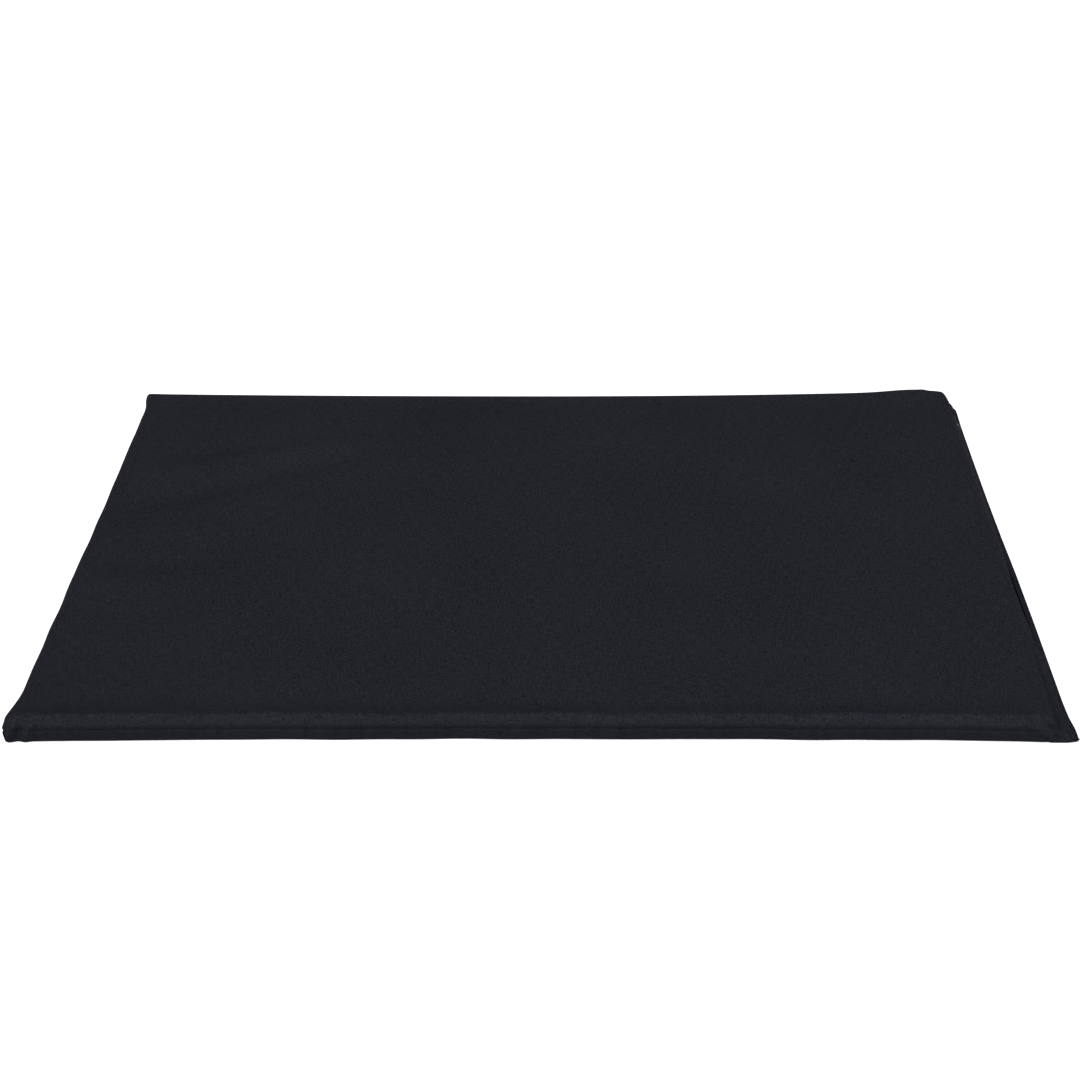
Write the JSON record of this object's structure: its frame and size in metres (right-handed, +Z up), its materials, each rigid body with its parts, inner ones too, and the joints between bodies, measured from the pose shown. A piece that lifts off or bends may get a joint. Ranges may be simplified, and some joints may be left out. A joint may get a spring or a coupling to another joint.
{
  "type": "kneeling pad",
  "caption": "Flat rectangular kneeling pad: foam slab in a removable dark woven fabric cover with a lapped zip across one short end.",
  "frame": {"origin": "on the underside, below the middle of the foam slab", "axes": "+X to the zip end, along the length; +Y to the back; +Z up, out of the face that is knelt on"},
  "size_m": [0.4545, 0.281, 0.013],
  "materials": {
    "foam": "matte",
    "cover_fabric": "matte",
    "thread": "satin",
    "zip_tape": "matte",
    "zip_coil": "satin",
    "zip_metal": "satin"
  },
  "bodies": {
    "cover": {"foam_core": "foam", "top_panel": "cover_fabric", "bottom_panel": "cover_fabric", "perimeter_seam_thread": "thread", "corner_stitching": "thread", "lower_tape_stitching": "thread", "front_bar_tack": "thread", "back_bar_tack": "thread", "lower_zip_tape": "zip_tape", "lower_zip_coil": "zip_coil", "zip_bottom_stop": "zip_metal", "lower_top_stop": "zip_metal", "upper_top_stop": "zip_metal"},
    "lap": {"zip_lap": "cover_fabric", "lap_stitching": "thread", "upper_zip_tape": "zip_tape", "upper_zip_coil": "zip_coil"},
    "slider": {"zip_slider": "zip_metal", "pull_tab_pin": "zip_metal"},
    "pull_tab": {"zip_pull_tab": "zip_metal"}
  },
  "joints": [
    {"name": "zip_travel", "type": "slide", "parent": "cover", "child": "slider", "axis": [0, -1, 0], "range_m": [0, 0.1808]},
    {"name": "mouth_open", "type": "hinge", "parent": "cover", "child": "lap", "pos_m": [0.216, 0, 0.01275], "axis": [0, -1, 0], "range_deg": [0, 95], "deforming": ["upper_zip_tape", "upper_zip_coil"]},
    {"name": "tab_swing", "type": "hinge", "parent": "slider", "child": "pull_tab", "pos_m": [0.2245, 0.114, 0.00495], "axis": [1, 0, 0], "range_deg": [0, 105]}
  ],
  "couplings": [
    {"joint": "mouth_open", "follows": "zip_travel", "rad_per_m": 9.1}
  ]
}
